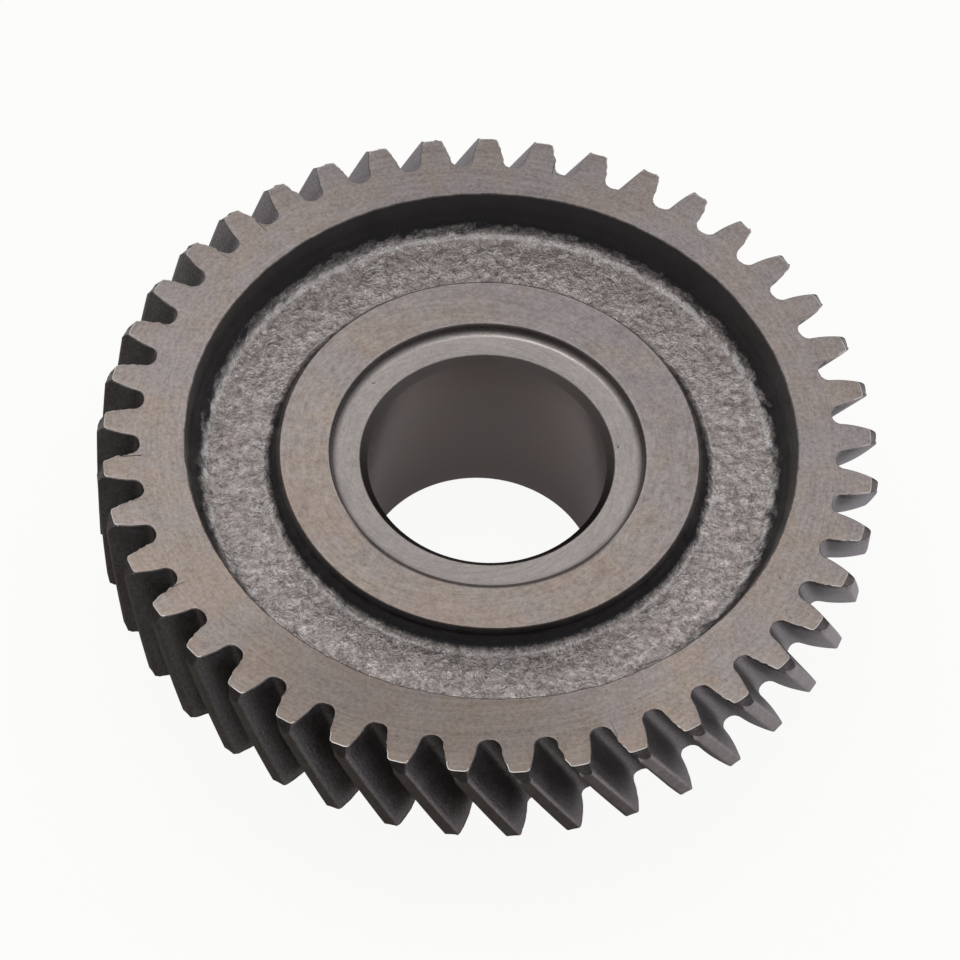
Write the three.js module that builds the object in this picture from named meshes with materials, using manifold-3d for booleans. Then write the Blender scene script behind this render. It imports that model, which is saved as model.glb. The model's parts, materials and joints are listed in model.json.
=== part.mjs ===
// Helical gear: one machined steel forging with 41 left-hand helical teeth, a web thinned by a
// recess on each side, and a hub that stands out behind the rim.
//
// Millimetres, +Z up along the gear's axis. The origin is the centre of the hub's back face, and
// a tooth is centred on +X where the teeth meet the rim's front face.
import * as THREE from 'three';
import { mergeVertices } from 'three/addons/utils/BufferGeometryUtils.js';
import Module from 'manifold-3d';

// Teeth.
const TOOTH_COUNT = 41;
const NORMAL_MODULE = 3.5;
const HELIX_ANGLE = THREE.MathUtils.degToRad(26.9);
const NORMAL_PRESSURE_ANGLE = THREE.MathUtils.degToRad(15.5);
const ADDENDUM = 4.05;
const DEDENDUM = 5.22;
const TOOTH_SHARE_OF_PITCH = 0.48;
const ROOT_FILLET_RADIUS = 2.1;

// Heights along the axis, from the hub's back face.
const HUB_LENGTH = 50;
const HUB_FACE_BELOW_RIM_FACE = 4.3;
const RIM_WIDTH = 24;
const FRONT_RECESS_DEPTH = 12;
const BACK_RECESS_DEPTH = 4;
const COUNTERBORE_DEPTH = 2.5;

// Radii about the axis.
const BORE_RADIUS = 26;
const COUNTERBORE_RADIUS = 34.25;
const HUB_FRONT_RADIUS = 45.6;
const HUB_BACK_RADIUS = 44;
const RECESS_RADIUS = 66.2;

// Edges, corners and the draft of the forged walls.
const FRONT_TIP_CHAMFER = 1.45;
const BACK_TIP_CHAMFER = 0.5;
const BORE_CHAMFER = 1.7;
const HUB_BACK_CHAMFER = 1.5;
const COVE_RADIUS = 2;
const FRONT_RECESS_FILLET = 5.5;
const BACK_RECESS_FILLET = 3;
const HUB_FRONT_FILLET = 3.5;
const RIM_DRAFT = THREE.MathUtils.degToRad(9);
const HUB_DRAFT = THREE.MathUtils.degToRad(12);

// How far the front recess sits off centre, at its upper edge on the rim and at its foot.
const RECESS_EDGE_OFFSET = new THREE.Vector2(0.8, 1);
const RECESS_FOOT_OFFSET = new THREE.Vector2(0.6, 2);

// Facets.
const FLANK_STEPS = 3;
const FILLET_STEPS = 2;
const ARC_DIVISIONS = 1;
const LATHE_SEGMENTS = 60;
const BAR_STEPS = 6;
const BAR_OVERHANG = 1;
const TIP_CLEARANCE = 1;
const MERGE_TOLERANCE = 1e-4;

// Derived sizes.
const HALF_PI = Math.PI / 2;
const PITCH_RADIUS = (NORMAL_MODULE * TOOTH_COUNT) / (2 * Math.cos(HELIX_ANGLE));
const TIP_RADIUS = PITCH_RADIUS + ADDENDUM;
const ROOT_RADIUS = PITCH_RADIUS - DEDENDUM;
const PRESSURE_ANGLE = Math.atan(Math.tan(NORMAL_PRESSURE_ANGLE) / Math.cos(HELIX_ANGLE));
const BASE_RADIUS = PITCH_RADIUS * Math.cos(PRESSURE_ANGLE);
const TOOTH_PITCH = (2 * Math.PI) / TOOTH_COUNT;
const TWIST_PER_MM = -Math.tan(HELIX_ANGLE) / PITCH_RADIUS;
const HUB_FACE = HUB_LENGTH;
const RIM_FACE = HUB_FACE + HUB_FACE_BELOW_RIM_FACE;
const RIM_BACK = RIM_FACE - RIM_WIDTH;
const WEB_FRONT = RIM_FACE - FRONT_RECESS_DEPTH;
const WEB_BACK = RIM_BACK + BACK_RECESS_DEPTH;

const steel = new THREE.MeshStandardMaterial({ color: 0x6f665f, roughness: 0.45, metalness: 1 });

const wasm = await Module();
wasm.setup();

// The involute function of a pressure angle.
function involute(angle) {
  return Math.tan(angle) - angle;
}

// Half of a tooth's angular thickness at a radius on its flank.
function halfThickness(radius) {
  const atPitch = (TOOTH_SHARE_OF_PITCH * TOOTH_PITCH) / 2;
  const pressure = Math.acos(Math.min(1, BASE_RADIUS / radius));
  return atPitch + involute(PRESSURE_ANGLE) - involute(pressure);
}

// One flank from the root circle to the tip, as [radius, half thickness] pairs. The fillet
// leaves the root circle at a tangent and runs into the flank.
function flankPoints() {
  const centreRadius = ROOT_RADIUS + ROOT_FILLET_RADIUS;
  const centreAngle = halfThickness(centreRadius) + ROOT_FILLET_RADIUS / centreRadius;
  const points = [];
  for (let i = 0; i <= FILLET_STEPS; i += 1) {
    const turn = (Math.PI / 2) * (i / FILLET_STEPS);
    const radius = centreRadius - ROOT_FILLET_RADIUS * Math.cos(turn);
    points.push([radius, centreAngle - (ROOT_FILLET_RADIUS * Math.sin(turn)) / centreRadius]);
  }
  for (let i = 1; i <= FLANK_STEPS; i += 1) {
    const radius = THREE.MathUtils.lerp(centreRadius, TIP_RADIUS, i / FLANK_STEPS);
    points.push([radius, halfThickness(radius)]);
  }
  return points;
}

// The gear's outline across its axis, with a tooth centred on +X.
function toothOutline() {
  const rising = flankPoints().map(([radius, half]) => [radius, -half]);
  const falling = flankPoints().reverse();
  const shape = new THREE.Shape();
  const corners = [];
  for (let tooth = 0; tooth < TOOTH_COUNT; tooth += 1) {
    for (const [radius, angle] of [...rising, ...falling]) {
      const turned = angle + tooth * TOOTH_PITCH;
      corners.push(new THREE.Vector2(radius * Math.cos(turned), radius * Math.sin(turned)));
    }
  }
  shape.setFromPoints(corners);
  return shape;
}

// A bar with the gear's teeth along its whole length, twisted about +Z into a left-hand helix.
function toothedBar() {
  const length = RIM_FACE + 2 * BAR_OVERHANG;
  const options = { depth: length, steps: BAR_STEPS, bevelEnabled: false };
  const bar = new THREE.ExtrudeGeometry(toothOutline(), options);
  bar.translate(0, 0, -BAR_OVERHANG);
  const places = bar.getAttribute('position');
  const place = new THREE.Vector3();
  const axis = new THREE.Vector3(0, 0, 1);
  for (let i = 0; i < places.count; i += 1) {
    place.fromBufferAttribute(places, i);
    place.applyAxisAngle(axis, TWIST_PER_MM * (place.z - RIM_FACE));
    places.setXYZ(i, place.x, place.y, place.z);
  }
  return bar;
}

// The outside of the blank, up the tooth tips. It stands clear of the tips between two cones
// that chamfer the ends of the teeth.
function drawRimOutside(profile) {
  profile.moveTo(TIP_RADIUS - BACK_TIP_CHAMFER, RIM_BACK);
  profile.lineTo(TIP_RADIUS + TIP_CLEARANCE, RIM_BACK + BACK_TIP_CHAMFER + TIP_CLEARANCE);
  profile.lineTo(TIP_RADIUS + TIP_CLEARANCE, RIM_FACE - FRONT_TIP_CHAMFER - TIP_CLEARANCE);
  profile.lineTo(TIP_RADIUS - FRONT_TIP_CHAMFER, RIM_FACE);
}

// A concave corner, drawn clockwise between two angles about its centre.
function drawCorner(profile, centreRadius, height, cornerRadius, from, to) {
  profile.absarc(centreRadius, height, cornerRadius, from, to, true);
}

// The centre radius of a fillet at the foot of a drafted wall that starts at a radius and is
// as high as given above the fillet's centre. The side is -1 on the rim and 1 on the hub.
function filletCentre(wallRadius, wallHeight, draft, filletRadius, side) {
  return wallRadius + side * (Math.tan(draft) * wallHeight + filletRadius / Math.cos(draft));
}

// The forged recess in front: the rim's drafted inner wall, the web and the hub's drafted wall.
function drawFrontRecess(profile) {
  const outerHeight = WEB_FRONT + FRONT_RECESS_FILLET;
  const outerRise = RIM_FACE - outerHeight;
  const outerCentre = filletCentre(RECESS_RADIUS, outerRise, RIM_DRAFT, FRONT_RECESS_FILLET, -1);
  const innerHeight = WEB_FRONT + HUB_FRONT_FILLET;
  const innerRise = HUB_FACE - innerHeight;
  const innerCentre = filletCentre(HUB_FRONT_RADIUS, innerRise, HUB_DRAFT, HUB_FRONT_FILLET, 1);
  profile.lineTo(RECESS_RADIUS, RIM_FACE);
  drawCorner(profile, outerCentre, outerHeight, FRONT_RECESS_FILLET, -RIM_DRAFT, -HALF_PI);
  drawCorner(profile, innerCentre, innerHeight, HUB_FRONT_FILLET, -HALF_PI, HUB_DRAFT - Math.PI);
  profile.lineTo(HUB_FRONT_RADIUS, HUB_FACE);
}

// The hub's front face, its coved counterbore, and the bore with a chamfer at each end.
function drawBore(profile) {
  const floor = HUB_FACE - COUNTERBORE_DEPTH;
  profile.lineTo(COUNTERBORE_RADIUS, HUB_FACE);
  drawCorner(profile, COUNTERBORE_RADIUS - COVE_RADIUS, floor + COVE_RADIUS, COVE_RADIUS, 0, -HALF_PI);
  profile.lineTo(BORE_RADIUS + BORE_CHAMFER, floor);
  profile.lineTo(BORE_RADIUS, floor - BORE_CHAMFER);
  profile.lineTo(BORE_RADIUS, BORE_CHAMFER);
  profile.lineTo(BORE_RADIUS + BORE_CHAMFER, 0);
}

// The long back of the hub and the shallow recess behind the web.
function drawBack(profile) {
  const fillet = BACK_RECESS_FILLET;
  profile.lineTo(HUB_BACK_RADIUS - HUB_BACK_CHAMFER, 0);
  profile.lineTo(HUB_BACK_RADIUS, HUB_BACK_CHAMFER);
  drawCorner(profile, HUB_BACK_RADIUS + fillet, WEB_BACK - fillet, fillet, Math.PI, HALF_PI);
  drawCorner(profile, RECESS_RADIUS - fillet, WEB_BACK - fillet, fillet, HALF_PI, 0);
  profile.lineTo(RECESS_RADIUS, RIM_BACK);
  profile.lineTo(TIP_RADIUS - BACK_TIP_CHAMFER, RIM_BACK);
}

// The forging was not true to the turned faces, so the front recess sits off centre.
function shiftFrontRecess(turned) {
  const places = turned.getAttribute('position');
  const webMiddle = (WEB_FRONT + WEB_BACK) / 2;
  for (let i = 0; i < places.count; i += 1) {
    const radius = Math.hypot(places.getX(i), places.getY(i));
    const onEdge = Math.abs(radius - RECESS_RADIUS) < MERGE_TOLERANCE;
    const inside = radius > HUB_FRONT_RADIUS + MERGE_TOLERANCE && radius < RECESS_RADIUS;
    if (places.getZ(i) > webMiddle && (onEdge || inside)) {
      const offset = onEdge ? RECESS_EDGE_OFFSET : RECESS_FOOT_OFFSET;
      places.setX(i, places.getX(i) + offset.x);
      places.setY(i, places.getY(i) + offset.y);
    }
  }
}

// The turned and forged blank, as a solid of revolution about +Z.
function blank() {
  const profile = new THREE.Path();
  drawRimOutside(profile);
  drawFrontRecess(profile);
  drawBore(profile);
  drawBack(profile);
  const turned = new THREE.LatheGeometry(profile.getPoints(ARC_DIVISIONS), LATHE_SEGMENTS);
  turned.rotateX(Math.PI / 2);
  shiftFrontRecess(turned);
  return turned;
}

// A closed geometry as a solid that can be cut and joined.
function solidOf(geometry) {
  geometry.deleteAttribute('normal');
  geometry.deleteAttribute('uv');
  const merged = mergeVertices(geometry, MERGE_TOLERANCE);
  const vertProperties = new Float32Array(merged.getAttribute('position').array);
  const triVerts = new Uint32Array(merged.getIndex().array);
  return new wasm.Manifold(new wasm.Mesh({ numProp: 3, vertProperties, triVerts }));
}

// A solid as a geometry that can be drawn.
function geometryOf(solid) {
  const mesh = solid.getMesh();
  const geometry = new THREE.BufferGeometry();
  geometry.setAttribute('position', new THREE.BufferAttribute(mesh.vertProperties, mesh.numProp));
  geometry.setIndex(new THREE.BufferAttribute(mesh.triVerts, 1));
  geometry.computeVertexNormals();
  return geometry;
}

// The whole gear: the blank, kept only where the toothed bar has metal.
function helicalGear() {
  const gear = new THREE.Mesh(geometryOf(solidOf(blank()).intersect(solidOf(toothedBar()))), steel);
  gear.name = 'helical_gear';
  return gear;
}

const part = new THREE.Group();
part.add(helicalGear());

export default part;
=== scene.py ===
"""Looks of the helical gear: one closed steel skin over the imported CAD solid.

The skin is a stack of closed rings round the gear's axis. It starts at the rim's back edge and
goes up the teeth, in over the rim's front face, down into the forged recess, over the web, up
the hub, down the bore and out over the back, where it closes on its first ring.
"""
import json
import math

import bpy
import numpy as np
from mathutils import Matrix, Vector, noise


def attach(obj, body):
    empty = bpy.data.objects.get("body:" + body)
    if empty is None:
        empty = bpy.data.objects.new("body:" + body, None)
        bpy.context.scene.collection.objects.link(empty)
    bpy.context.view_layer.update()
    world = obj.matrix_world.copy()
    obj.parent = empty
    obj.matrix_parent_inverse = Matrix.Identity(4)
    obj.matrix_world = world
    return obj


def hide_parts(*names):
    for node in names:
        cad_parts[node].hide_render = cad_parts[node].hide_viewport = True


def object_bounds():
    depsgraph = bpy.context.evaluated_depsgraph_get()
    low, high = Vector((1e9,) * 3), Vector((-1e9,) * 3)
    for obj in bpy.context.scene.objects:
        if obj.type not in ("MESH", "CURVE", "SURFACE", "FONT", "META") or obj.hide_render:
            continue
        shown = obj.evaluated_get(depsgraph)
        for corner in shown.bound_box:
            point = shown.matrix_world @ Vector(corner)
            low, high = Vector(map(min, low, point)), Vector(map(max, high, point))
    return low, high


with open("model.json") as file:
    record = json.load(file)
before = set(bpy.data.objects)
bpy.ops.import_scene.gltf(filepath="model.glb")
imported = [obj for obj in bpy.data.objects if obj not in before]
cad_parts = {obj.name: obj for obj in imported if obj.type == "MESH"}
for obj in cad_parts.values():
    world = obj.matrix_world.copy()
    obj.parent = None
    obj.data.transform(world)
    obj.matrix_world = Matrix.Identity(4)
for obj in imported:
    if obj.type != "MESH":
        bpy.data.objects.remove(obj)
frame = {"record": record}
cad_low, cad_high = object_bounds()

MM = 0.001
NODE = "helical_gear"


def mount_height(name):
    """Height of one of the record's flat faces, in millimetres."""
    for mount in frame["record"]["mounts"]:
        if mount["name"] == name:
            return mount["pos_m"][2] / MM
    raise ValueError(f"the record has no mount named {name}")


# Heights along the axis, in millimetres from the hub's back face.
RIM_FACE = mount_height("rim_front_face")
HUB_FACE = mount_height("hub_front_face")
COUNTERBORE_FLOOR = mount_height("counterbore_floor")
HUB_BACK = mount_height("hub_back_face")
RIM_WIDTH = 24.0
FRONT_RECESS_DEPTH = 12.0
BACK_RECESS_DEPTH = 4.0
RIM_BACK = RIM_FACE - RIM_WIDTH
WEB_FRONT = RIM_FACE - FRONT_RECESS_DEPTH
WEB_BACK = RIM_BACK + BACK_RECESS_DEPTH

# Radii about the axis. The web's radius is in its middle, between the hub and the rim.
TIP_RADIUS = min(-cad_low.x, cad_high.x, -cad_low.y, cad_high.y) / MM
RECESS_RADIUS = 66.2
WEB_RADIUS = 56.0
HUB_FRONT_RADIUS = 45.6
HUB_BACK_RADIUS = 44.0
COUNTERBORE_RADIUS = 34.25
BORE_RADIUS = 26.0

# Teeth.
TOOTH_COUNT = 41
NORMAL_MODULE = 3.5
HELIX_ANGLE = math.radians(26.9)
NORMAL_PRESSURE_ANGLE = math.radians(15.5)
TOOTH_SHARE_OF_PITCH = 0.48
WHOLE_DEPTH = 9.27
ROOT_FILLET = 2.1
PITCH_RADIUS = NORMAL_MODULE * TOOTH_COUNT / (2 * math.cos(HELIX_ANGLE))
ROOT_RADIUS = TIP_RADIUS - WHOLE_DEPTH
PRESSURE_ANGLE = math.atan(math.tan(NORMAL_PRESSURE_ANGLE) / math.cos(HELIX_ANGLE))
BASE_RADIUS = PITCH_RADIUS * math.cos(PRESSURE_ANGLE)
TOOTH_PITCH = 2 * math.pi / TOOTH_COUNT
TWIST_PER_MM = -math.tan(HELIX_ANGLE) / PITCH_RADIUS

# Edges and corners.
FRONT_TIP_CHAMFER = 1.45
BACK_TIP_CHAMFER = 0.5
TIP_CORNER = 0.22
BORE_CHAMFER = 1.7
BORE_MOUTH = BORE_RADIUS + BORE_CHAMFER
BORE_EDGE = COUNTERBORE_FLOOR - BORE_CHAMFER
HUB_BACK_CHAMFER = 1.5
COVE_RADIUS = 2.0
FRONT_RECESS_FILLET = 5.5
BACK_RECESS_FILLET = 3.0
HUB_FRONT_FILLET = 3.5
EDGE_BREAK = 0.22
FACE_BREAK = 0.03
# Width of the painted highlight round the teeth's front faces.
EDGE_HIGHLIGHT_WIDTH = 0.2
RIM_DRAFT = math.radians(9)
HUB_DRAFT = math.radians(12)
SHARP_ANGLE = math.radians(40)

# The broken corner of the bore's mouth: how far its two rings lie outside, inside and below it.
MOUTH_OUTSIDE = 0.12
MOUTH_INSIDE = 0.05
MOUTH_BELOW = 0.1

# The least that an edge of the teeth is broken: down the flanks, and in over each face.
LEAST_DOWN = 0.1
LEAST_IN_FRONT = 0.03
LEAST_IN_BACK = 0.05

# How far the forged recess sits off centre, at its edges and at its foot.
RIM_EDGE_OFFSET = (0.8, 1.0)
HUB_EDGE_OFFSET = (0.45, 0.25)
FOOT_OFFSET = (0.6, 2.0)

# The forged skin: the heights of its bumps and the depth of its cracks, the cracks' width as a
# share of the noise, how much of all that the walls have, the distance from a turned edge at
# which it is at full height, and how far that edge wanders on the face and on the wall.
LUMP_HEIGHT = 0.20
LEATHER_HEIGHT = 0.20
GRAIN_HEIGHT = 0.13
CRACK_DEPTH = 0.18
CRACK_WIDTH = 0.07
WALL_ROUGHNESS = 0.25
EDGE_FADE = 2.0
FACE_EDGE_WAVE = 0.12
WALL_EDGE_WAVE = 0.10

# Brings Blender's noise to about -1 to 1.
NOISE_GAIN = 1.6

# The camera, measured from the middle of the rim's front face.
CAMERA_AZIMUTH = math.radians(-5.27)
CAMERA_ELEVATION = math.radians(55.708)
CAMERA_ROLL = math.radians(-3.832)
CAMERA_DISTANCE = 957.7
CAMERA_SIDE = 1.84
CAMERA_RISE = 8.55
LENS = 166.47
SENSOR = 36.0

# How finely the skin is divided: steps, points round a ring, spacings, and the radii of the
# rings that only divide a flat face.
FILLET_STEPS = 4
FLANK_STEPS = 9
TIP_STEPS = 6
TOOTH_LAYERS = 8
TOP_LAYER = 1.3
BORE_LAYERS = 4
HUB_WALL_LAYERS = 6
FRONT_POINTS = 720
BORE_POINTS = 288
BACK_POINTS = 420
FORGED_SPACING = 0.55
BACK_SPACING = 0.9
TEETH_INNER_RADIUS = ROOT_RADIUS - 0.4
RIM_OUTER_RADIUS = ROOT_RADIUS - 1.2
RIM_MIDDLE_RADIUS = 70.5
HUB_FACE_RADII = (43.5, 39.5)
HUB_BACK_FACE_RADIUS = 35.0

# The stage, in metres and watts.
FLOOR_SIZE = 8.0
FLOOR_GAP = 0.0002
KEY_PLACE = Vector((-0.2, 0.15, 1.4))
KEY_AIM = Vector((0, 0, 0.03))
KEY_SIZE = 0.5
KEY_POWER = 0.8

# Soft lobes of light round the gear: azimuth from the camera's left-right line, elevation,
# sharpness, strength and colour. The base is the same from all round.
LIGHT_LOBES = (
    (90, 80, 2.2, 0.66, (1.0, 0.99, 0.97)),
    (90, 90, 12.0, 0.28, (1.0, 0.99, 0.98)),
    (90, 5, 2.0, 0.38, (1.0, 1.0, 1.0)),
    (0, 10, 2.0, 0.10, (0.9, 0.95, 1.05)),
    (180, 15, 2.0, 0.06, (1.0, 0.97, 0.93)),
)
LIGHT_BASE = 0.05

# Material slots of the skin.
MACHINED, FORGED, FLANK, TIP, EDGE, BORE, EDGE_HIGHLIGHT = range(7)

# Colours as linear red, green, blue and alpha. A pair is mixed by a cloudy pattern.
WARM_STEEL = ((0.395, 0.322, 0.275, 1), (0.41, 0.347, 0.315, 1))
COOL_STEEL = ((0.365, 0.324, 0.324, 1), (0.395, 0.357, 0.358, 1))
COUNTERBORE_STEEL = (0.405, 0.37, 0.36, 1)
RUST = (0.25, 0.17, 0.125, 1)
FORGED_SILVER = ((0.362, 0.314, 0.300, 1), (0.452, 0.404, 0.395, 1))
# Painted glints and highlights on the forging.
FORGED_GLINT = (0.80, 0.76, 0.75, 1)
# Near-black painted shade on the forging's steep walls.
FORGED_WALL_SHADE = (0.113, 0.112, 0.119, 1)
FLANK_STEEL = ((0.27, 0.25, 0.245, 1), (0.33, 0.315, 0.32, 1))
TIP_STEEL = ((0.30, 0.265, 0.25, 1), (0.40, 0.37, 0.36, 1))
EDGE_STEEL = ((0.16, 0.138, 0.13, 1), (0.24, 0.22, 0.215, 1))
BORE_STEEL = ((0.54, 0.465, 0.43, 1), (0.57, 0.52, 0.51, 1))
# Painted highlight along the rims of the teeth's front faces.
EDGE_HIGHLIGHT_STEEL = ((0.38, 0.345, 0.33, 1), (0.66, 0.63, 0.61, 1))
FLOOR_GLOW = ((0.10, 0.093, 0.088, 1), (0.60, 0.58, 0.61, 1))
FLOOR_PAINT = (0.9, 0.9, 0.9, 1)
FLOOR_WHITE = (1.0, 1.0, 0.985, 1)
BACKGROUND_WHITE = (0.985, 0.985, 0.97, 1)

# The side where painted cool light tints the machined faces, and the side where painted light makes
# them paler.
COOL_LIGHT_SIDE = math.radians(60)
PAINTED_LIGHT_SIDE = math.radians(-150) + CAMERA_AZIMUTH


def involute(angle):
    """The involute function of a pressure angle."""
    return np.tan(angle) - angle


def half_thickness(radius):
    """Half of a tooth's angular thickness at radii on its flank."""
    pressure = np.arccos(np.minimum(1.0, BASE_RADIUS / radius))
    return TOOTH_SHARE_OF_PITCH * TOOTH_PITCH / 2 + involute(PRESSURE_ANGLE) - involute(pressure)


def tooth_side(tip_radius):
    """Radii and half angles up one side of a tooth, from the root circle onto the tip."""
    centre = ROOT_RADIUS + ROOT_FILLET
    turns = np.linspace(0, math.pi / 2, FILLET_STEPS + 1)
    fillet_radii = centre - ROOT_FILLET * np.cos(turns)
    centre_angle = half_thickness(centre) + ROOT_FILLET / centre
    fillet_angles = centre_angle - ROOT_FILLET * np.sin(turns) / centre
    flank_radii = np.linspace(centre, tip_radius - TIP_CORNER, FLANK_STEPS + 1)[1:]
    corner_angle = half_thickness(tip_radius) - TIP_CORNER / tip_radius
    radii = np.concatenate([fillet_radii, flank_radii, [tip_radius]])
    angles = np.concatenate([fillet_angles, half_thickness(flank_radii), [corner_angle]])
    return radii, angles


SIDE_POINTS = FILLET_STEPS + FLANK_STEPS + 2
TOOTH_POINTS = 2 * SIDE_POINTS + TIP_STEPS


def tooth_outline(tip_radius):
    """One tooth as radii and angles: the gap's middle, one side, the tip and the other side."""
    radii, angles = tooth_side(tip_radius)
    tip_angles = np.linspace(-angles[-1], angles[-1], TIP_STEPS + 1)[1:-1]
    tip_radii = np.full(TIP_STEPS - 1, tip_radius)
    all_radii = np.concatenate([[ROOT_RADIUS], radii, tip_radii, radii[::-1]])
    all_angles = np.concatenate([[-TOOTH_PITCH / 2], -angles, tip_angles, angles[::-1]])
    return all_radii, all_angles


def tooth_ring(tip_radius, heights):
    """All teeth at one layer, with a height for each point, as x, y, z rows."""
    radii, angles = tooth_outline(tip_radius)
    radii = np.tile(radii, TOOTH_COUNT)
    turned = np.repeat(np.arange(TOOTH_COUNT) * TOOTH_PITCH, TOOTH_POINTS)
    angles = np.tile(angles, TOOTH_COUNT) + turned + TWIST_PER_MM * (heights - RIM_FACE)
    return np.stack([radii * np.cos(angles), radii * np.sin(angles), heights], 1)


def inset(ring, widths):
    """A ring moved inwards, square to its outline, by a width for each point."""
    along = np.roll(ring, -1, 0) - np.roll(ring, 1, 0)
    along /= np.linalg.norm(along[:, :2], axis=1)[:, None]
    moved = ring.copy()
    moved[:, 0] -= along[:, 1] * widths
    moved[:, 1] += along[:, 0] * widths
    return moved


def wander(count, wavelength, seed):
    """Smooth noise along the points of a ring, between about -1 and 1."""
    steps = np.arange(count) / wavelength
    return np.array([noise.noise(Vector((step, seed, 0.0))) for step in steps]) * NOISE_GAIN


class Skin:
    """The growing stack of rings, and the faces between them."""

    def __init__(self):
        self.points = []
        self.creases = []
        self.count = 0
        self.faces = []
        self.slots = []
        self.last = None
        self.first = None

    def _strip(self, a, b, slots):
        """Faces between two rings: squares if they have as many points, else triangles."""
        start_a, ring_a = a
        start_b, ring_b = b
        if len(ring_a) == len(ring_b):
            here = np.arange(len(ring_a))
            there = np.roll(here, -1)
            quads = np.stack([start_a + here, start_a + there, start_b + there, start_b + here], 1)
            self.faces.extend(quads.tolist())
            self.slots.extend(np.broadcast_to(slots, len(here)).tolist())
            return
        triangles = zipped(start_a, ring_a, start_b, ring_b)
        self.faces.extend(triangles)
        self.slots.extend([slots] * len(triangles))

    def add(self, ring, slots, crease=False):
        """Joins a new ring to the last one. The slot is one number, or one for each point."""
        placed = (self.count, ring)
        self.creases.append(np.full(len(ring), len(self.points) if crease else -1))
        self.points.append(ring)
        self.count += len(ring)
        if self.last is None:
            self.first = placed
        else:
            self._strip(self.last, placed, slots)
        self.last = placed

    def close(self, slots):
        """Joins the last ring to the first one."""
        self._strip(self.last, self.first, slots)


def zipped(start_a, ring_a, start_b, ring_b):
    """Triangles between two rings that have different numbers of points."""
    full = 2 * math.pi
    angles_a = np.unwrap(np.arctan2(ring_a[:, 1], ring_a[:, 0]))
    angles_b = np.unwrap(np.arctan2(ring_b[:, 1], ring_b[:, 0]))
    gaps = (angles_b - angles_a[0] + math.pi) % full - math.pi
    roll = int(np.argmin(np.abs(gaps)))
    steps_a = np.append(angles_a - angles_a[0], full)
    steps_b = np.append((angles_b - angles_b[roll]) % full, full)
    steps_b = np.append(np.roll(steps_b[:-1], -roll), full) + gaps[roll]
    i = j = 0
    triangles = []
    while i < len(ring_a) or j < len(ring_b):
        a = start_a + i % len(ring_a)
        b = start_b + (j + roll) % len(ring_b)
        if j == len(ring_b) or (i < len(ring_a) and steps_a[i + 1] <= steps_b[j + 1]):
            triangles.append([a, start_a + (i + 1) % len(ring_a), b])
            i += 1
        else:
            triangles.append([a, start_b + (j + 1 + roll) % len(ring_b), b])
            j += 1
    return triangles


def circle(radius, height, count, offset=(0.0, 0.0)):
    """A round ring at one height."""
    angles = np.arange(count) * 2 * math.pi / count
    x = radius * np.cos(angles) + offset[0]
    y = radius * np.sin(angles) + offset[1]
    return np.stack([x, y, np.full(count, height)], 1)


def add_circles(skin, profile, count, slot, crease=False):
    """Adds a round ring for each radius and height of a profile."""
    for radius, height in profile:
        skin.add(circle(radius, height, count), slot, crease)


def arc(centre_radius, centre_height, radius, start, end, steps):
    """Radii and heights round a corner, between two angles in degrees."""
    turns = np.radians(np.linspace(start, end, steps + 1))
    radii = centre_radius + radius * np.cos(turns)
    heights = centre_height + radius * np.sin(turns)
    return np.stack([radii, heights], 1)


def respaced(profile, spacing):
    """A profile with evenly spaced points, its two ends kept."""
    lengths = np.append(0, np.cumsum(np.linalg.norm(np.diff(profile, axis=0), axis=1)))
    count = int(round(lengths[-1] / spacing))
    at = np.linspace(0, lengths[-1], count + 1)
    radii = np.interp(at, lengths, profile[:, 0])
    heights = np.interp(at, lengths, profile[:, 1])
    return np.stack([radii, heights], 1)


def outward(profile):
    """Unit normals of a profile that is walked with the metal on its left."""
    along = np.gradient(profile, axis=0)
    along /= np.linalg.norm(along, axis=1)[:, None]
    return np.stack([along[:, 1], -along[:, 0]], 1)


def smooth_step(value, low, high):
    """0 below low, 1 above high and a soft slope between them."""
    part = np.clip((value - low) / (high - low), 0, 1)
    return part * part * (3 - 2 * part)


def forged_height(angle, radius, height):
    """How far the forged skin stands out at a point, in millimetres.

    Each layer of noise has its own size of bump and its own part of the noise, so that the
    layers don't line up.
    """
    x = math.cos(angle) * WEB_RADIUS
    y = math.sin(angle) * WEB_RADIUS
    lumps = noise.noise(Vector((x / 6.0, y / 6.0, (radius + height) / 7.0)))
    leather = noise.noise(Vector((x / 2.3, y / 2.3, radius / 2.9 + height * 0.4 + 9.0)))
    grain = noise.noise(Vector((x / 1.15, y / 1.15, radius / 1.3 + height * 0.8 + 31.0)))
    crease = abs(noise.noise(Vector((x / 3.4, y / 3.4, radius / 4.0 + height / 3.0 + 57.0))))
    crack = max(0.0, 1.0 - crease / CRACK_WIDTH)
    rise = LUMP_HEIGHT * lumps + LEATHER_HEIGHT * leather + GRAIN_HEIGHT * grain
    return rise - CRACK_DEPTH * crack


def forged_ring(radius, height, normal, roughness, count, offset):
    """A round ring with the forged skin's lumps on it."""
    ring = circle(radius, height, count, offset)
    if roughness == 0:
        return ring
    for i in range(count):
        angle = 2 * math.pi * i / count
        rise = roughness * forged_height(angle, radius, height)
        ring[i, 0] += rise * normal[0] * math.cos(angle)
        ring[i, 1] += rise * normal[0] * math.sin(angle)
        ring[i, 2] += rise * normal[1]
    return ring


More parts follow.
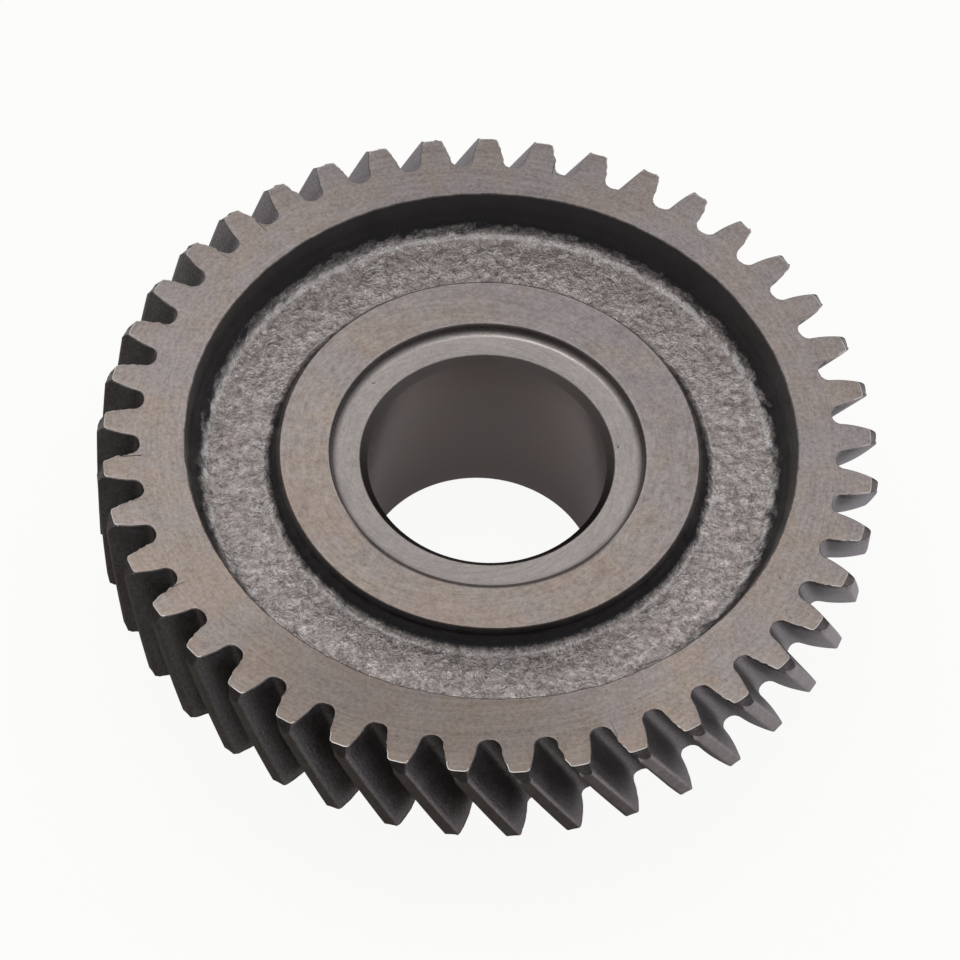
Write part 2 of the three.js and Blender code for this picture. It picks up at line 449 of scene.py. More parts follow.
def per_tooth(gap, acute, tip, obtuse):
    """One value for each point of a whole tooth ring, from the values along one tooth.

    Each part is one number or a list of numbers, which are spread evenly along that part.
    """
    counts = (1, SIDE_POINTS, TIP_STEPS - 1, SIDE_POINTS)
    parts = []
    for value, count in zip((gap, acute, tip, obtuse), counts):
        values = np.atleast_1d(value).astype(float)
        at = np.linspace(0, 1, count)
        parts.append(np.interp(at, np.linspace(0, 1, len(values)), values))
    return np.tile(np.concatenate(parts), TOOTH_COUNT)


def tooth_slots(plain, other, first, last):
    """Slots round a whole tooth ring: the other one from a first up to a last point of each."""
    slots = np.full(TOOTH_POINTS, plain)
    slots[first:last] = other
    return np.tile(slots, TOOTH_COUNT)


def front_break(ragged):
    """How far the teeth's front edge is broken, down the flanks and in over the face.

    The acute edge of a tooth's end is burred and was broken by hand, so its break is ragged
    and runs down the flank. Across the tip to the obtuse corner it is a turned chamfer.
    """
    acute = [0.5, 2.2, 2.4, 1.9, 1.1]
    tip = [1.5, 1.9, 2.05, 2.05, 1.9]
    obtuse = [1.75, 1.4, 0.45] + [0.2] * (SIDE_POINTS - 3)
    down = per_tooth(0.25, acute, tip, obtuse)
    down += per_tooth(0, [0.2, 1.0, 1.0, 0.8, 0.1], 0.06, 0.03) * ragged
    across = per_tooth(0.14, [0.2, 0.3, 0.3, 0.22], 0.0, 0.13)
    across += per_tooth(0.03, [0.05, 0.2, 0.2, 0.05], 0.02, 0.05) * ragged
    return np.maximum(down, LEAST_DOWN), np.maximum(across, LEAST_IN_FRONT)


def back_break(ragged):
    """How far the teeth's back edge is broken. There the acute edges are on the other side."""
    down = per_tooth(0.2, 0.2, [0.3, 0.4, 0.4], [0.3, 0.6, 0.6, 0.2])
    down += per_tooth(0, 0, 0, 0.2) * ragged
    across = per_tooth(0.12, 0.12, 0.0, 0.15)
    across += per_tooth(0, 0, 0, 0.06) * ragged
    return np.maximum(down, LEAST_DOWN), np.maximum(across, LEAST_IN_BACK)


def add_teeth(skin):
    """The teeth, from the rim's back edge to its front edge."""
    count = TOOTH_COUNT * TOOTH_POINTS
    ragged = wander(count, 2.6, 3.1) + 0.7 * wander(count, 0.8, 8.7)
    front_down, front_across = front_break(ragged)
    back_down, back_across = back_break(ragged)
    sides = tooth_slots(FLANK, TIP, SIDE_POINTS - 1, SIDE_POINTS + TIP_STEPS + 1)
    ends = tooth_slots(FLANK, EDGE, 1, SIDE_POINTS + TIP_STEPS)
    # Painted highlight: a thin bright strip round the rim of each tooth's front face.
    highlight_slots = tooth_slots(MACHINED, EDGE_HIGHLIGHT, SIDE_POINTS - 4, SIDE_POINTS + TIP_STEPS + 2)
    bottom = tooth_ring(TIP_RADIUS - BACK_TIP_CHAMFER, np.full(count, RIM_BACK))
    skin.add(inset(bottom, back_across), EDGE, True)
    low = RIM_BACK + back_down
    high = RIM_FACE - front_down
    for layer in range(TOOTH_LAYERS):
        ring = tooth_ring(TIP_RADIUS, low + (high - low) * layer / TOOTH_LAYERS)
        skin.add(ring, sides if layer else ends, layer == 0)
    skin.add(tooth_ring(TIP_RADIUS, high - TOP_LAYER), sides)
    rounding = [0.0] * (SIDE_POINTS - 4) + [0.05, 0.2, 0.4, 0.6]
    rounding = per_tooth(0, rounding, [0.5, 0.2, 0.05, 0, 0], 0)
    skin.add(inset(tooth_ring(TIP_RADIUS, high), rounding), sides, True)
    top = tooth_ring(TIP_RADIUS - FRONT_TIP_CHAMFER, np.full(count, RIM_FACE - FACE_BREAK))
    top = inset(top, front_across)
    skin.add(top, ends, True)
    highlight_ring = inset(top, np.full(count, EDGE_HIGHLIGHT_WIDTH))
    highlight_ring[:, 2] = RIM_FACE
    skin.add(highlight_ring, highlight_slots)


def add_tooth_roots(skin, ring):
    """A ring just inside the teeth, with a point for each point of their outline."""
    angles = np.arctan2(ring[:, 1], ring[:, 0])
    x = TEETH_INNER_RADIUS * np.cos(angles)
    y = TEETH_INNER_RADIUS * np.sin(angles)
    skin.add(np.stack([x, y, ring[:, 2]], 1), MACHINED)


def fillet_centre(wall_radius, wall_height, draft, fillet, side):
    """Centre radius of the fillet at a drafted wall's foot. The side is -1 on the rim."""
    return wall_radius + side * (math.tan(draft) * wall_height + fillet / math.cos(draft))


OUTER_HEIGHT = WEB_FRONT + FRONT_RECESS_FILLET
INNER_HEIGHT = WEB_FRONT + HUB_FRONT_FILLET
OUTER_WALL = RIM_FACE - OUTER_HEIGHT
INNER_WALL = HUB_FACE - INNER_HEIGHT
OUTER_FOOT = fillet_centre(RECESS_RADIUS, OUTER_WALL, RIM_DRAFT, FRONT_RECESS_FILLET, -1)
INNER_FOOT = fillet_centre(HUB_FRONT_RADIUS, INNER_WALL, HUB_DRAFT, HUB_FRONT_FILLET, 1)


def front_recess_profile():
    """The recess in front, from the rim's wall to the top of the hub's wall."""
    rim_turn = math.degrees(RIM_DRAFT)
    hub_turn = math.degrees(HUB_DRAFT)
    wall_top = [RECESS_RADIUS - math.tan(RIM_DRAFT) * EDGE_BREAK, RIM_FACE - EDGE_BREAK]
    hub_top = [HUB_FRONT_RADIUS + math.tan(HUB_DRAFT) * EDGE_BREAK, HUB_FACE - EDGE_BREAK]
    outer_arc = arc(OUTER_FOOT, OUTER_HEIGHT, FRONT_RECESS_FILLET, -rim_turn, -90, 8)
    inner_arc = arc(INNER_FOOT, INNER_HEIGHT, HUB_FRONT_FILLET, -90, hub_turn - 180, 6)
    return np.vstack([[wall_top], outer_arc, inner_arc, [hub_top]])


def recess_offset(radius, height):
    """How far off centre the recess is: its walls lean over from their edge to their foot."""
    if radius > WEB_RADIUS:
        edge, top, foot = RIM_EDGE_OFFSET, RIM_FACE, OUTER_HEIGHT
    else:
        edge, top, foot = HUB_EDGE_OFFSET, HUB_FACE, INNER_HEIGHT
    part = min(1.0, max(0.0, (height - foot) / (top - foot)))
    x = FOOT_OFFSET[0] + part * (edge[0] - FOOT_OFFSET[0])
    y = FOOT_OFFSET[1] + part * (edge[1] - FOOT_OFFSET[1])
    return x, y


def add_front_recess(skin):
    """The forged recess. It is off centre, as the forging was not true to the turned faces."""
    profile = respaced(front_recess_profile(), FORGED_SPACING)
    normals = outward(profile)
    from_edge = np.where(profile[:, 0] > WEB_RADIUS, RIM_FACE, HUB_FACE) - profile[:, 1]
    foot = 1 - smooth_step(profile[:, 1], WEB_FRONT + 1.0, WEB_FRONT + 4.5)
    rough = WALL_ROUGHNESS + (1 - WALL_ROUGHNESS) * foot
    rough *= smooth_step(from_edge, 0.2, EDGE_FADE)
    edge = wander(FRONT_POINTS, 6.0, 21.3) + 0.6 * wander(FRONT_POINTS, 1.7, 4.9)
    top = circle(RECESS_RADIUS + EDGE_BREAK, RIM_FACE, FRONT_POINTS, RIM_EDGE_OFFSET)
    outwards = top[:, :2] / np.linalg.norm(top[:, :2], axis=1)[:, None]
    top[:, :2] += outwards * FACE_EDGE_WAVE * edge[:, None]
    skin.add(top, MACHINED, True)
    for i, (radius, height) in enumerate(profile):
        offset = recess_offset(radius, height)
        ring = forged_ring(radius, height, normals[i], rough[i], FRONT_POINTS, offset)
        if i == 0:
            ring[:, :2] += outwards * WALL_EDGE_WAVE * edge[:, None]
        skin.add(ring, FORGED if i else MACHINED, i in (0, len(profile) - 1))


def add_front_hub(skin):
    """The hub's front face, its coved counterbore and the bore."""
    edge = circle(HUB_FRONT_RADIUS - EDGE_BREAK, HUB_FACE, FRONT_POINTS, HUB_EDGE_OFFSET)
    skin.add(edge, MACHINED, True)
    add_circles(skin, [(radius, HUB_FACE) for radius in HUB_FACE_RADII], BORE_POINTS, MACHINED)
    add_circles(skin, [(COUNTERBORE_RADIUS + EDGE_BREAK, HUB_FACE)], BORE_POINTS, MACHINED, True)
    add_circles(skin, [(COUNTERBORE_RADIUS, HUB_FACE - EDGE_BREAK)], BORE_POINTS, MACHINED, True)
    cove_height = COUNTERBORE_FLOOR + COVE_RADIUS
    cove = arc(COUNTERBORE_RADIUS - COVE_RADIUS, cove_height, COVE_RADIUS, 0, -90, 8)
    add_circles(skin, cove, BORE_POINTS, MACHINED)
    outer_lip = (BORE_MOUTH + MOUTH_OUTSIDE, COUNTERBORE_FLOOR)
    inner_lip = (BORE_MOUTH - MOUTH_INSIDE, COUNTERBORE_FLOOR - MOUTH_BELOW)
    add_circles(skin, [outer_lip], BORE_POINTS, MACHINED, True)
    add_circles(skin, [inner_lip], BORE_POINTS, TIP, True)
    length = BORE_EDGE - HUB_BACK - BORE_CHAMFER
    for layer in range(BORE_LAYERS + 1):
        height = BORE_EDGE - length * layer / BORE_LAYERS
        skin.add(circle(BORE_RADIUS, height, BORE_POINTS), BORE, layer in (0, BORE_LAYERS))


def back_profile():
    """The back, from the hub's wall to the rim's back face."""
    fillet = BACK_RECESS_FILLET
    inner = arc(HUB_BACK_RADIUS + fillet, WEB_BACK - fillet, fillet, 180, 90, 5)
    outer = arc(RECESS_RADIUS - fillet, WEB_BACK - fillet, fillet, 90, 0, 5)
    rim = [[RECESS_RADIUS, RIM_BACK + EDGE_BREAK]]
    return np.vstack([inner, outer, rim])


def add_back(skin):
    """The hub's back end, the long hub, and the shallow recess behind the web."""
    edge_radius = HUB_BACK_RADIUS - HUB_BACK_CHAMFER
    add_circles(skin, [(BORE_MOUTH, HUB_BACK)], BORE_POINTS, TIP, True)
    add_circles(skin, [(HUB_BACK_FACE_RADIUS, HUB_BACK)], BORE_POINTS, MACHINED)
    add_circles(skin, [(edge_radius, HUB_BACK)], BACK_POINTS, MACHINED, True)
    wall_foot = HUB_BACK + HUB_BACK_CHAMFER
    wall_top = WEB_BACK - BACK_RECESS_FILLET
    for layer in range(HUB_WALL_LAYERS):
        height = wall_foot + (wall_top - wall_foot) * layer / HUB_WALL_LAYERS
        skin.add(circle(HUB_BACK_RADIUS, height, BACK_POINTS), MACHINED, layer == 0)
    profile = respaced(back_profile(), BACK_SPACING)
    normals = outward(profile)
    from_rim = profile[:, 1] - RIM_BACK
    from_hub = profile[:, 0] - HUB_BACK_RADIUS
    from_edge = np.where(profile[:, 0] > WEB_RADIUS, from_rim, from_hub)
    rough = smooth_step(from_edge, 0.1, EDGE_FADE)
    for i, (radius, height) in enumerate(profile):
        ring = forged_ring(radius, height, normals[i], rough[i], BACK_POINTS, (0.0, 0.0))
        skin.add(ring, FORGED if i else MACHINED, i in (0, len(profile) - 1))
    add_circles(skin, [(RECESS_RADIUS + EDGE_BREAK, RIM_BACK)], BACK_POINTS, MACHINED, True)
    add_circles(skin, [(RIM_OUTER_RADIUS, RIM_BACK)], BACK_POINTS, MACHINED)


def gear_skin():
    """The whole gear, in millimetres."""
    skin = Skin()
    add_teeth(skin)
    add_tooth_roots(skin, skin.last[1])
    for radius in (RIM_OUTER_RADIUS, RIM_MIDDLE_RADIUS):
        skin.add(circle(radius, RIM_FACE, FRONT_POINTS), MACHINED)
    add_front_recess(skin)
    add_front_hub(skin)
    add_back(skin)
    add_tooth_roots(skin, skin.first[1])
    skin.close(MACHINED)
    return skin


class Graph:
    """A short way to write a shader. Each method adds nodes and returns the last one's output."""

    def __init__(self, tree):
        self.tree = tree

    def node(self, kind, inputs=(), output=0, **settings):
        """Adds a node. An input is a number, a colour or another node's output."""
        made = self.tree.nodes.new(kind)
        for name, value in settings.items():
            setattr(made, name, value)
        for key, value in dict(inputs).items():
            if isinstance(value, bpy.types.NodeSocket):
                self.tree.links.new(value, made.inputs[key])
            else:
                made.inputs[key].default_value = value
        return made.outputs[output]

    def math(self, operation, a, b=0.0):
        return self.node("ShaderNodeMath", {0: a, 1: b}, operation=operation)

    def add(self, *values):
        """The values' sum, by a chain of nodes."""
        total = values[0]
        for value in values[1:]:
            total = self.math("ADD", total, value)
        return total

    def times(self, *values):
        """The values' product, by a chain of nodes."""
        total = values[0]
        for value in values[1:]:
            total = self.math("MULTIPLY", total, value)
        return total

    def combine(self, x=0.0, y=0.0, z=0.0):
        return self.node("ShaderNodeCombineXYZ", {0: x, 1: y, 2: z})

    def separate(self, vector):
        """A vector's x, y and z."""
        made = self.tree.nodes.new("ShaderNodeSeparateXYZ")
        self.tree.links.new(vector, made.inputs[0])
        return made.outputs

    def dot(self, a, b):
        return self.node("ShaderNodeVectorMath", {0: a, 1: b}, 1, operation="DOT_PRODUCT")

    def length(self, vector):
        return self.node("ShaderNodeVectorMath", {0: vector}, 1, operation="LENGTH")

    def sum(self, a, b):
        """The sum of two vectors."""
        return self.node("ShaderNodeVectorMath", {0: a, 1: b}, operation="ADD")

    def scaled(self, vector, factor):
        return self.node("ShaderNodeVectorMath", {0: vector, 3: factor}, operation="SCALE")

    def noise(self, vector, scale, detail, roughness, kind="FBM"):
        inputs = {"Vector": vector, "Scale": scale, "Detail": detail, "Roughness": roughness}
        return self.node("ShaderNodeTexNoise", inputs, noise_type=kind)

    def spread(self, value, low, high, to_low=0.0, to_high=1.0):
        """A value's range from low to high, stretched to another range and held inside it."""
        inputs = {0: value, 1: low, 2: high, 3: to_low, 4: to_high}
        return self.node("ShaderNodeMapRange", inputs, clamp=True)

    def cloud(self, vector, scale, detail, roughness, low=0.3, high=0.7):
        """Noise whose range from low to high is stretched to 0 to 1."""
        return self.spread(self.noise(vector, scale, detail, roughness), low, high)

    def ridges(self, vector, scale, detail):
        """Noise with sharp crests, stretched to 0 to 1."""
        crests = self.noise(vector, scale, detail, 0.6, "RIDGED_MULTIFRACTAL")
        return self.spread(crests, 0.3, 2.2)

    def mix(self, factor, a, b):
        return self.node("ShaderNodeMix", {0: factor, 6: a, 7: b}, 2, data_type="RGBA")

    def bump(self, height, depth, strength=1.0):
        """A normal from a height of 0 to 1, which stands for a depth in millimetres."""
        inputs = {"Height": height, "Distance": depth * MM, "Strength": strength}
        return self.node("ShaderNodeBump", inputs)


def new_material(name):
    """A material with an empty graph, and the output's surface socket."""
    material = bpy.data.materials.new(name)
    material.use_nodes = True
    tree = material.node_tree
    tree.nodes.clear()
    output = tree.nodes.new("ShaderNodeOutputMaterial")
    return material, Graph(tree), output.inputs["Surface"]


def steel(graph, surface, colour, roughness, normal, anisotropic=0.0):
    """A metal surface. Anisotropic steel has marks that run round the axis."""
    inputs = {"Base Color": colour, "Metallic": 1.0, "Roughness": roughness, "Normal": normal}
    if anisotropic:
        inputs["Anisotropic"] = anisotropic
        inputs["Tangent"] = graph.node("ShaderNodeTangent", direction_type="RADIAL", axis="Z")
    shader = graph.node("ShaderNodeBsdfPrincipled", inputs)
    graph.tree.links.new(shader, surface)


class Place:
    """Where a point is on the gear, in millimetres, as nodes."""

    def __init__(self, graph):
        self.point = graph.scaled(graph.node("ShaderNodeTexCoord", output=3), 1 / MM)
        x, y, self.height = graph.separate(self.point)
        self.flat = graph.combine(x, y)
        self.radius = graph.length(self.flat)
        self.direction = graph.node("ShaderNodeVectorMath", {0: self.flat}, operation="NORMALIZE")
        self.on_radius = graph.combine(self.radius)


def towards(graph, vector, turn):
    """How much of a vector points to one side of the gear, given as an angle round its axis."""
    return graph.dot(vector, (math.cos(turn), math.sin(turn), 0))


def sector(graph, place, degrees, fades, full):
    """1 on one side of the gear as the camera sees it, fading to 0 at an angle from there."""
    facing = towards(graph, place.direction, math.radians(degrees) + CAMERA_AZIMUTH)
    return graph.spread(facing, math.cos(math.radians(fades)), math.cos(math.radians(full)))


def line_at(graph, distance, where, half_width):
    """1 on a thin line at a distance, fading to 0 beside it."""
    off = graph.math("ABSOLUTE", graph.add(distance, -where))
    return graph.spread(off, 0.0, half_width, 1.0, 0.0)


def machined_colour(graph, place, cloud, floor):
    """Warm and cool patches, a painted cool-light tint towards one side, a greyer counterbore floor
    and rust-brown stains.
    """
    blotch = graph.cloud(place.point, 0.07, 5, 0.65, 0.38, 0.62)
    # The cool patches are real tint; their lean towards one side is painted cool light.
    cool = graph.add(blotch, graph.times(towards(graph, place.direction, COOL_LIGHT_SIDE), 0.4))
    warm_colour = graph.mix(cloud, *WARM_STEEL)
    cool_colour = graph.mix(cloud, *COOL_STEEL)
    colour = graph.mix(graph.spread(cool, 0, 1), warm_colour, cool_colour)
    colour = graph.mix(floor, colour, COUNTERBORE_STEEL)
    rust = graph.spread(graph.noise(place.point, 0.13, 5, 0.7), 0.60, 0.74, 0.0, 0.5)
    return graph.mix(rust, colour, RUST)


def pitted_and_shaded(graph, place, tone):
    """The turned faces' tone: darker in pits, with painted shade by the cove and on the rim face.
    """
    pits = graph.spread(graph.noise(place.point, 0.6, 2, 0.5), 0.22, 0.26, 0.5, 1.0)
    # Painted shade: a dark line along the cove's edge on the side towards the camera.
    corner = line_at(graph, place.radius, COUNTERBORE_RADIUS + 0.1, 1.1)
    corner = graph.times(corner, sector(graph, place, -90, 62, 35))
    corner = graph.spread(corner, 0.1, 0.45, 1.0, 0.22)
    # Painted shade on the rim face: darker on its near side, and a little on its far side.
    on_rim = graph.spread(place.radius, WEB_RADIUS - 4.0, WEB_RADIUS + 4.0)
    near_painted_shade = graph.times(sector(graph, place, -98, 42, 12), on_rim, 0.30)
    far_painted_shade = graph.times(sector(graph, place, 96, 36, 6), on_rim, 0.13)
    # What is left after the rim face's painted shade.
    clear = graph.math("SUBTRACT", 1.0, graph.add(near_painted_shade, far_painted_shade))
    return graph.times(tone, pits, corner, clear)


def machined_material():
    """Turned steel faces: satin, warm grey, with faint rings, stains, small pits, and painted light
    and shade.
    """
    material, graph, surface = new_material("turned_steel")
    place = Place(graph)
    floor = graph.spread(place.radius, COUNTERBORE_RADIUS + 0.95, COUNTERBORE_RADIUS + 0.15)
    cloud = graph.cloud(place.point, 0.24, 5, 0.65)
    grain = graph.cloud(place.point, 1.05, 3, 0.8, 0.36, 0.64)
    grain = graph.add(
        graph.times(grain, graph.spread(floor, 0, 1, 1.0, 0.4)),
        graph.times(floor, 0.3),
    )
    along = graph.sum(place.on_radius, graph.scaled(place.direction, 5.0))
    streaks = graph.cloud(along, 1.5, 4, 0.8, 0.36, 0.64)
    # Painted light: the faces outside the counterbore a little paler towards one side.
    painted_light = towards(graph, place.direction, PAINTED_LIGHT_SIDE)
    tone = graph.add(
        0.62,
        graph.times(grain, 0.42),
        graph.times(streaks, 0.24),
        graph.times(cloud, 0.16),
        graph.times(painted_light, graph.spread(place.radius, 34.0, 38.0), 0.05),
    )
    colour = machined_colour(graph, place, cloud, floor)
    colour = graph.scaled(colour, pitted_and_shaded(graph, place, tone))
    roughness = graph.add(
        0.28,
        graph.times(grain, 0.12),
        graph.times(cloud, 0.08),
        graph.times(floor, -0.12),
    )
    rings = graph.noise(place.on_radius, 2.6, 3, 0.7)
    height = graph.add(graph.times(rings, 0.5), graph.noise(place.point, 1.4, 3, 0.6))
    steel(graph, surface, colour, roughness, graph.bump(height, 0.035, 0.9), 0.4)
    return material


class ForgedPatterns:
    """The patterns that the colour and the bumps of the forged skin share.

    The folds, mottle and crinkles are bent by noise. The lumps, creases and wrinkles are
    drawn out along the radius, the way the metal flowed.
    """

    def __init__(self, graph, place):
        flow = graph.scaled(place.direction, WEB_RADIUS)
        flow = graph.sum(flow, graph.combine(0.0, 0.0, place.height))
        flow = graph.sum(flow, graph.combine(0.0, 0.0, graph.times(place.radius, 0.52)))
        inputs = {"Vector": place.point, "Scale": 0.35, "Detail": 2.0}
        warp = graph.node("ShaderNodeTexNoise", inputs, 1)
        bent = graph.sum(place.point, graph.scaled(warp, 2.2))
        self.folds = graph.ridges(bent, 0.62, 4)
        self.mottle = graph.cloud(bent, 0.55, 5, 0.75, 0.38, 0.62)
        self.lumps = graph.noise(flow, 0.3, 4, 0.6)
        self.creases = graph.ridges(flow, 0.95, 3)
        self.grain = graph.noise(place.point, 1.5, 3, 0.75)
        self.fine = graph.noise(place.point, 3.6, 2, 0.7)
        crinkles = line_at(graph, graph.noise(bent, 0.42, 1.5, 0.6), 0.5, 0.07)
        wrinkles = line_at(graph, graph.noise(flow, 0.5, 1.5, 0.6), 0.52, 0.07)
        busy = graph.cloud(flow, 0.18, 4, 0.7, 0.46, 0.58)
        broken = graph.cloud(place.point, 0.3, 4, 0.75, 0.46, 0.58)
        self.lines = graph.add(
            graph.times(crinkles, busy, 0.8),
            graph.times(wrinkles, broken, 0.6),
        )
        off_centre = graph.sum(place.flat, (-FOOT_OFFSET[0], -FOOT_OFFSET[1], 0.0))
        wobble = graph.times(graph.add(self.lumps, -0.5), 1.6)
        self.from_middle = graph.add(graph.length(off_centre), wobble)


def painted_wall_shade(graph, place, skin):
    """Where near-black painted shade covers the forging: on its steep walls, less on the far side,
    low on the rim's wall.
    """
    normal = graph.node("ShaderNodeNewGeometry", output=1)
    level = graph.math("ABSOLUTE", graph.separate(normal)[2])
    uneven = graph.add(graph.times(skin.grain, 0.5), graph.times(skin.lumps, 0.5), -0.5)
    # The painted shade reaches less far up the walls on the far side.
    lifted = graph.times(sector(graph, place, 90, 80, 30), 0.13)
    steep = graph.spread(graph.add(level, uneven, lifted), 0.70, 0.98, 1.0, 0.0)
    fillet = graph.spread(skin.from_middle, OUTER_FOOT + 2.6, OUTER_FOOT + 3.8, 0.0, 0.85)
    thin = graph.spread(skin.grain, 0.35, 0.6, 1.0, 0.65)
    return graph.math("MAXIMUM", steep, graph.times(fillet, thin))


def painted_glints(graph, place, skin):
    """Where painted highlights brighten the forging: glints on its crests and fine lines, and lines
    at its fillets' feet.
    """
    # Painted highlight lines at the feet of the rim's and the hub's fillets.
    feet = graph.add(
        graph.times(line_at(graph, skin.from_middle, OUTER_FOOT + 2.3, 0.8), 1.9),
        line_at(graph, skin.from_middle, INNER_FOOT - 0.9, 0.5),
    )
    patches = graph.cloud(place.point, 0.1, 4, 0.7, 0.38, 0.52)
    feet = graph.times(feet, patches, graph.spread(skin.fine, 0.3, 0.5, 0.7, 1.0))
    # Painted glints on the crests of the folds and creases.
    crests = graph.add(
        graph.times(graph.spread(skin.folds, 0.45, 0.8), 0.3),
        graph.times(graph.spread(skin.creases, 0.5, 0.85), 0.2),
    )
    return graph.math("MINIMUM", graph.add(crests, skin.lines, feet), 1.0)


def forged_colour(graph, place, skin, scale):
    """Silver-grey metal with painted glints on its crests and lines, under near-black painted
    shade.
    """
    tone = graph.cloud(place.point, 0.11, 5, 0.65)
    shade = graph.add(
        0.40,
        skin.mottle,
        graph.times(graph.spread(skin.grain, 0.3, 0.6), 0.60),
    )
    silver = graph.scaled(graph.mix(tone, *FORGED_SILVER), shade)
    silver = graph.mix(painted_glints(graph, place, skin), silver, FORGED_GLINT)
    return graph.mix(scale, silver, FORGED_WALL_SHADE)


def forged_material():
    """As-forged skin: silver-grey and crumpled where it is level, with near-black painted shade on
    steep walls.
    """
    material, graph, surface = new_material("forged_skin")
    place = Place(graph)
    skin = ForgedPatterns(graph, place)
    # scale here is the near-black painted shade on the walls.
    scale = painted_wall_shade(graph, place, skin)
    colour = forged_colour(graph, place, skin, scale)
    roughness = graph.spread(skin.fine, 0.3, 0.7, 0.26, 0.4)
    height = graph.add(
        graph.times(skin.folds, 0.28),
        graph.times(skin.creases, 0.18),
        graph.times(skin.lines, 0.14),
        graph.times(skin.mottle, 0.12),
        graph.times(skin.lumps, 0.5),
        graph.times(skin.grain, 0.22),
        graph.times(skin.fine, 0.07),
    )
    normal = graph.bump(height, 0.8, graph.spread(scale, 0.0, 1.0, 1.0, 0.25))
    steel(graph, surface, colour, roughness, normal)
    return material


def flank_material():
    """Cut tooth flanks: dark satin steel, grainy, with faint marks along the teeth."""
    material, graph, surface = new_material("cut_flank")
    place = Place(graph)
    cloud = graph.cloud(place.point, 0.2, 4, 0.6)
    streak = graph.cloud(place.on_radius, 2.2, 3, 0.6, 0.35, 0.65)
    grain = graph.noise(place.point, 1.8, 3, 0.6)
    tone = graph.add(0.66, graph.times(streak, 0.1), graph.spread(grain, 0.3, 0.7, 0.0, 0.55))
    colour = graph.scaled(graph.mix(cloud, *FLANK_STEEL), tone)
    roughness = graph.spread(cloud, 0, 1, 0.36, 0.5)
    height = graph.add(graph.times(streak, 0.3), graph.times(grain, 2.0))
    steel(graph, surface, colour, roughness, graph.bump(height, 0.06, 0.9))
    return material


def tip_material():
    """The turned tip lands and the lips of the bore: dark and brownish, with blotches."""
    material, graph, surface = new_material("tip_land")
    place = Place(graph)
    cloud = graph.cloud(place.point, 0.35, 4, 0.65)
    grain = graph.noise(place.point, 1.8, 3, 0.6)
    colour = graph.scaled(graph.mix(cloud, *TIP_STEEL), graph.spread(grain, 0.3, 0.7, 0.75, 1.15))
    steel(graph, surface, colour, 0.38, graph.bump(grain, 0.04, 0.8))
    return material


def edge_material():
    """The broken edges of the teeth's ends, and the chamfers on their tips: very dark."""
    material, graph, surface = new_material("tooth_end")
    place = Place(graph)
    colour = graph.mix(graph.cloud(place.point, 0.8, 3, 0.6), *EDGE_STEEL)
    burrs = graph.noise(place.point, 1.5, 4, 0.7)
    steel(graph, surface, colour, 0.3, graph.bump(burrs, 0.1))
    return material


def bore_material():
    """The finished bore and its chamfer: smooth, brown-grey, with fine rings and painted shade."""
    material, graph, surface = new_material("finished_bore")
    place = Place(graph)
    rings = graph.noise(graph.combine(place.height), 1.6, 4, 0.7)
    cloud = graph.cloud(place.point, 0.08, 3, 0.6)
    # Painted shade: the bore darker deeper down and on its near side; its chamfer is darker too.
    tone = graph.times(
        graph.spread(rings, 0.3, 0.7, 0.9, 1.08),
        graph.spread(place.height, HUB_BACK + 6.0, HUB_FACE - 12.0, 0.48, 0.92),
        graph.spread(place.height, BORE_EDGE - 0.04, BORE_EDGE + 0.04, 1.0, 0.55),
        graph.spread(sector(graph, place, 90, 100, 40), 0, 1, 0.62, 1.0),
    )
    colour = graph.scaled(graph.mix(cloud, *BORE_STEEL), tone)
    roughness = graph.spread(cloud, 0, 1, 0.24, 0.34)
    steel(graph, surface, colour, roughness, graph.bump(rings, 0.01))
    return material


def edge_highlight_material():
    """The rims of the teeth's front faces, round their tips: a painted highlight, bright in places.
    """
    material, graph, surface = new_material("painted_edge_highlight")
    place = Place(graph)
    colour = graph.mix(graph.cloud(place.point, 0.3, 4, 0.7, 0.36, 0.52), *EDGE_HIGHLIGHT_STEEL)
    grain = graph.noise(place.point, 1.8, 3, 0.6)
    steel(graph, surface, colour, 0.3, graph.bump(grain, 0.03, 0.8))
    return material


def mark_creases(mesh, creases):
    """Keeps the marked rings sharp, as well as every corner of more than the sharp angle."""
    mesh.set_sharp_from_angle(angle=SHARP_ANGLE)
    ends = np.empty(len(mesh.edges) * 2, np.int32)
    mesh.edges.foreach_get("vertices", ends)
    rings = creases[ends.reshape(-1, 2)]
    sharp = np.empty(len(mesh.edges), bool)
    mesh.edges.foreach_get("use_edge_sharp", sharp)
    sharp |= (rings[:, 0] >= 0) & (rings[:, 0] == rings[:, 1])
    mesh.edges.foreach_set("use_edge_sharp", sharp)


def add_gear():
    """The gear's skin, as the piece that stands for the CAD node."""
    skin = gear_skin()
    mesh = bpy.data.meshes.new("gear_skin")
    mesh.from_pydata((np.vstack(skin.points) * MM).tolist(), [], skin.faces)
    for material in (
        machined_material(),
        forged_material(),
        flank_material(),
        tip_material(),
        edge_material(),
        bore_material(),
        edge_highlight_material(),
    ):
        mesh.materials.append(material)
    mesh.polygons.foreach_set("material_index", skin.slots)
    mesh.polygons.foreach_set("use_smooth", [True] * len(skin.faces))
    mark_creases(mesh, np.concatenate(skin.creases))
    mesh.update()
    gear = bpy.data.objects.new("gear_skin", mesh)
    bpy.context.scene.collection.objects.link(gear)
    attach(gear, "root")
    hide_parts(NODE)


